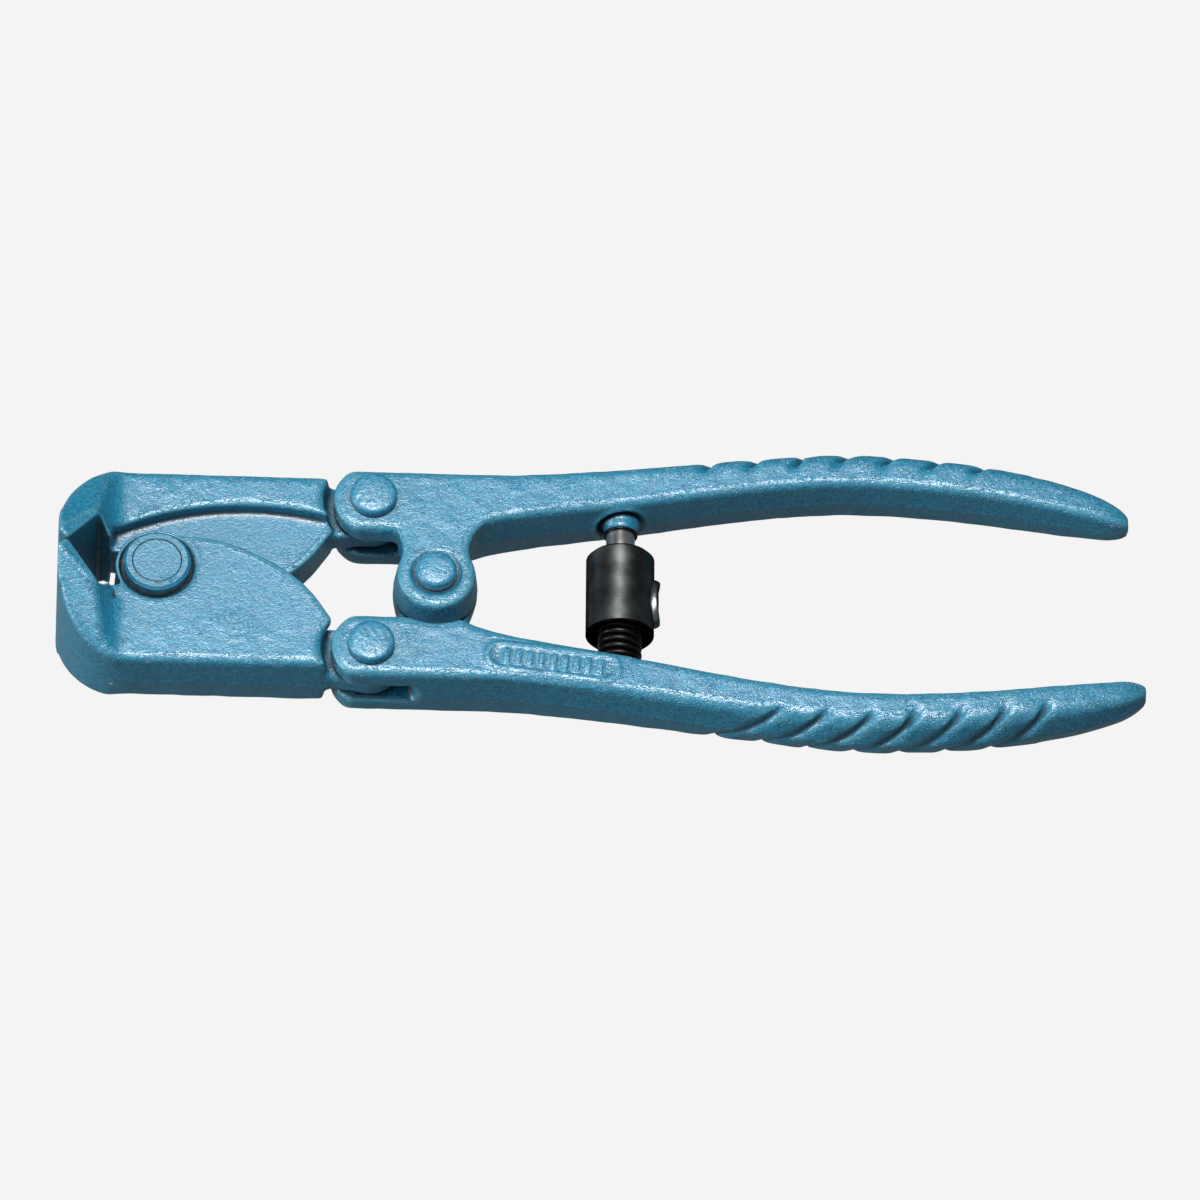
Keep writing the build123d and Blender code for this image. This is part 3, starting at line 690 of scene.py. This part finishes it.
def finishPiece(name, points, faces, material, nodeName, body):
    # closes and orients a numpy surface and puts it in place of a CAD node
    mesh = bpy.data.meshes.new(name)
    mesh.from_pydata(points.tolist(), [], faces)
    work = bmesh.new()
    work.from_mesh(mesh)
    bmesh.ops.remove_doubles(work, verts=work.verts, dist=1e-7)
    bmesh.ops.recalc_face_normals(work, faces=work.faces)
    work.to_mesh(mesh)
    work.free()
    mesh.polygons.foreach_set("use_smooth", np.ones(len(mesh.polygons), dtype=bool))
    mesh.materials.append(material)
    piece = bpy.data.objects.new(name, mesh)
    scene.collection.objects.link(piece)
    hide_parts(nodeName)
    if body:
        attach(piece, body)
    return piece


# rivets and collar

def lathed(profile, axis, centre, steps):
    # a profile of (radius, height) turned about an axis through the centre
    profile = np.array(profile)
    turn = np.linspace(0, 2 * np.pi, steps, endpoint=False)
    radius, height = profile[:, 0][:, None], profile[:, 1][:, None]
    first, second = radius * np.cos(turn), radius * np.sin(turn)
    rise = height + np.zeros_like(first)
    order = (first, second, rise) if axis == "z" else (first, rise, second)
    points = np.stack(order, axis=-1).reshape(-1, 3) + np.array(centre)
    return points, tubeFaces(len(profile), steps)


def rivetProfile(radius, base, height, pin):
    # hammered head: a nearly flat top, a round shoulder and a short straight
    # side, on both ends of the pin
    share = np.linspace(0, 1, 30)
    fall = 0.26 * share**2 + 0.10 * share**4 + 0.40 * share**9
    out = radius * np.sin(share * np.pi / 2) ** 0.8
    top = base + height * (1 - fall)
    head = [(0.0, top[0])] + list(zip(out[1:], top[1:])) + [(radius, base), (pin, base)]
    tail = [(r, -z) for r, z in reversed(head)]
    return head + tail


lowerLink = np.array(joints["lower_link"]["pos_m"])
rivetSteps = 96
rivetSettings = {
    "upper_link_rivet": {
        "at": (lowerLink[0], -lowerLink[1]), "body": "upper_handle",
        "head": 4.3, "base": 6.9, "height": 2.1,
        "pin": 2.15,       # thinner than the real pin, so that the skin round it doesn't meet it
    },
    "lower_link_rivet": {
        "at": (lowerLink[0], lowerLink[1]), "body": "lower_handle",
        "head": 4.3, "base": 6.9, "height": 2.1, "pin": 2.5,
    },
    "handle_pivot_rivet": {
        "at": (handlePivot[0], handlePivot[1]), "body": "lower_handle",
        "head": 3.8, "base": 6.4, "height": 2.5, "pin": 2.7,
    },
}

for seed, (nodeName, one) in enumerate(rivetSettings.items()):
    profile = np.array(rivetProfile(one["head"], one["base"], one["height"], one["pin"])) * mm
    points, faces = lathed(profile, "z", (*one["at"], 0), rivetSteps)
    onHead = np.abs(points[:, 2]) > one["base"] * mm
    hammered = 0.035 * mm * ripple(points, 2.4 * mm, 31 + seed)
    hammered += 0.015 * mm * ripple(points, 1.0 * mm, 41 + seed)
    points[:, 2] -= np.sign(points[:, 2]) * onHead * np.abs(hammered)
    finishPiece(nodeName + "_head", points, faces.tolist(), lacquer, nodeName, one["body"])
print("rivets made")

collarSettings = {
    # radius and height, mm
    "profile": [
        (2.66, 16.40), (3.44, 16.40), (3.50, 15.60), (3.50, 15.10), (3.38, 14.80),
        (3.12, 14.45), (2.95, 14.00), (2.90, 13.60), (2.98, 13.45), (3.12, 13.35),
        (3.16, 13.10), (3.10, 12.90), (2.95, 12.82), (2.66, 12.80), (2.66, 16.40),
    ],
    "steps": 96,
    "bareBelow": 13.5 * mm,     # the lacquer ends here
}


def studCollar(settings):
    profile = np.array(settings["profile"]) * mm
    points, faces = lathed(profile, "y", (unitAxis[0], 0, 0), settings["steps"])
    collar = finishPiece("studCollar", points, faces.tolist(), lacquer, "stud_collar", "upper_handle")
    collar.data.materials.append(steels["collar"])
    heights = np.array([face.center.y for face in collar.data.polygons])
    bare = (heights < settings["bareBelow"]).astype(np.int32)
    collar.data.polygons.foreach_set("material_index", bare)


studCollar(collarSettings)
print("collar made")


# thumb tab of the sleeve

tabSettings = {
    "sleeve": 6.3 * mm,      # outer radius of the sleeve
    "rise": 1.15 * mm,
    "sink": 0.1 * mm,
    "middle": -1.4 * mm,     # along Y
    "halfLength": 4.9 * mm,
    "halfAngle": 0.50,       # radians round the sleeve
    "rim": 0.35 * mm,
    "rows": 72,
    "cols": 40,
}


def sleeveTab(settings):
    # a leaf wrapped on the sleeve: a disc of radius one is stretched into the
    # leaf, its middle dished and its edge rolled up into a thin bead
    rows, cols = settings["rows"], settings["cols"]
    turn = np.linspace(0, 2 * np.pi, rows)[:, None]
    out = np.linspace(0, 1, cols)[None, :]
    leaf = np.abs(np.cos(turn)) ** 0.35
    along = out * np.sin(turn)
    across = out * np.sign(np.cos(turn)) * leaf * np.sqrt(np.clip(1 - np.sin(turn) ** 2, 0, 1)) ** 0.65
    bead = np.exp(-(((out - 0.86) / 0.10) ** 2))
    lift = settings["rise"] * (0.62 + 0.10 * (1 - out**2)) * np.clip((1 - out) / 0.12, 0, 1) ** 0.5
    lift = lift + settings["rim"] * bead
    angle = settings["halfAngle"] * across

    def wrapped(radius):
        return np.stack([
            unitAxis[0] + radius * np.cos(angle),
            settings["middle"] + settings["halfLength"] * along + np.zeros_like(radius),
            radius * np.sin(angle),
        ], axis=-1).reshape(-1, 3)

    radius = settings["sleeve"] + lift + np.zeros_like(turn)
    sunk = settings["sleeve"] - settings["sink"] + np.zeros_like(radius)
    edge = np.arange(rows * cols).reshape(rows, cols)[:, -1]
    side = np.stack([edge[:-1], edge[1:], edge[1:] + rows * cols, edge[:-1] + rows * cols], axis=1)
    faces = np.concatenate([gridFaces(rows, cols), gridFaces(rows, cols) + rows * cols, side])
    points = np.concatenate([wrapped(radius), wrapped(sunk)])
    finishPiece("thumbLeaf", points, faces.tolist(), steels["blackened"], "sleeve_tab", "spring_sleeve")


sleeveTab(tabSettings)
print("thumb tab made")


# return spring

springSettings = {
    "bottom": -16.1 * mm,
    "top": 3.7 * mm,
    "coil": 3.5 * mm,      # radius of the helix
    "wire": 0.58 * mm,     # radius of the wire
    "turns": 12.4,
    "steps": 900,
    "round": 14,
}


def returnSpring(settings):
    # a circle carried along a helix: the helix climbs steadily, but lies flat
    # for the first and last turn so that the ground ends sit square
    share = np.linspace(0, 1, settings["steps"])
    angle = share * settings["turns"] * 2 * np.pi
    dead = 1 / settings["turns"]
    climb = np.clip((share - 0.85 * dead) / (1 - 1.7 * dead), 0, 1)
    ends = settings["wire"]
    span = settings["top"] - settings["bottom"] - 2 * ends
    flatRise = 2.0 * settings["wire"]
    height = settings["bottom"] + ends + climb * (span - 2 * flatRise)
    height = height + flatRise * (np.clip(share / dead, 0, 1) + np.clip((share - 1 + dead) / dead, 0, 1))
    path = np.stack([
        unitAxis[0] + settings["coil"] * np.cos(angle),
        height,
        settings["coil"] * np.sin(angle),
    ], axis=1)
    along = np.gradient(path, axis=0)
    along /= np.linalg.norm(along, axis=1, keepdims=True)
    outward = np.stack([np.cos(angle), np.zeros_like(angle), np.sin(angle)], axis=1)
    across = np.cross(along, outward)
    across /= np.linalg.norm(across, axis=1, keepdims=True)
    turn = np.linspace(0, 2 * np.pi, settings["round"], endpoint=False)
    ring = settings["wire"] * (
        np.cos(turn)[None, :, None] * outward[:, None, :] + np.sin(turn)[None, :, None] * across[:, None, :]
    )
    points = (path[:, None, :] + ring).reshape(-1, 3)
    points = np.concatenate([points, path[:1], path[-1:]])
    rows, cols = settings["steps"], settings["round"]
    index = np.arange(rows * cols).reshape(rows, cols)
    after = np.roll(index, -1, axis=1)
    startCap = np.stack([np.full(cols, rows * cols), index[0], after[0]], axis=1)
    endCap = np.stack([np.full(cols, rows * cols + 1), after[-1], index[-1]], axis=1)
    faces = tubeFaces(rows, cols).tolist() + startCap.tolist() + endCap.tolist()
    spring = finishPiece("coilSpring", points, faces, steels["springWire"], "return_spring", None)
    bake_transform(spring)


returnSpring(springSettings)
print("return spring made")
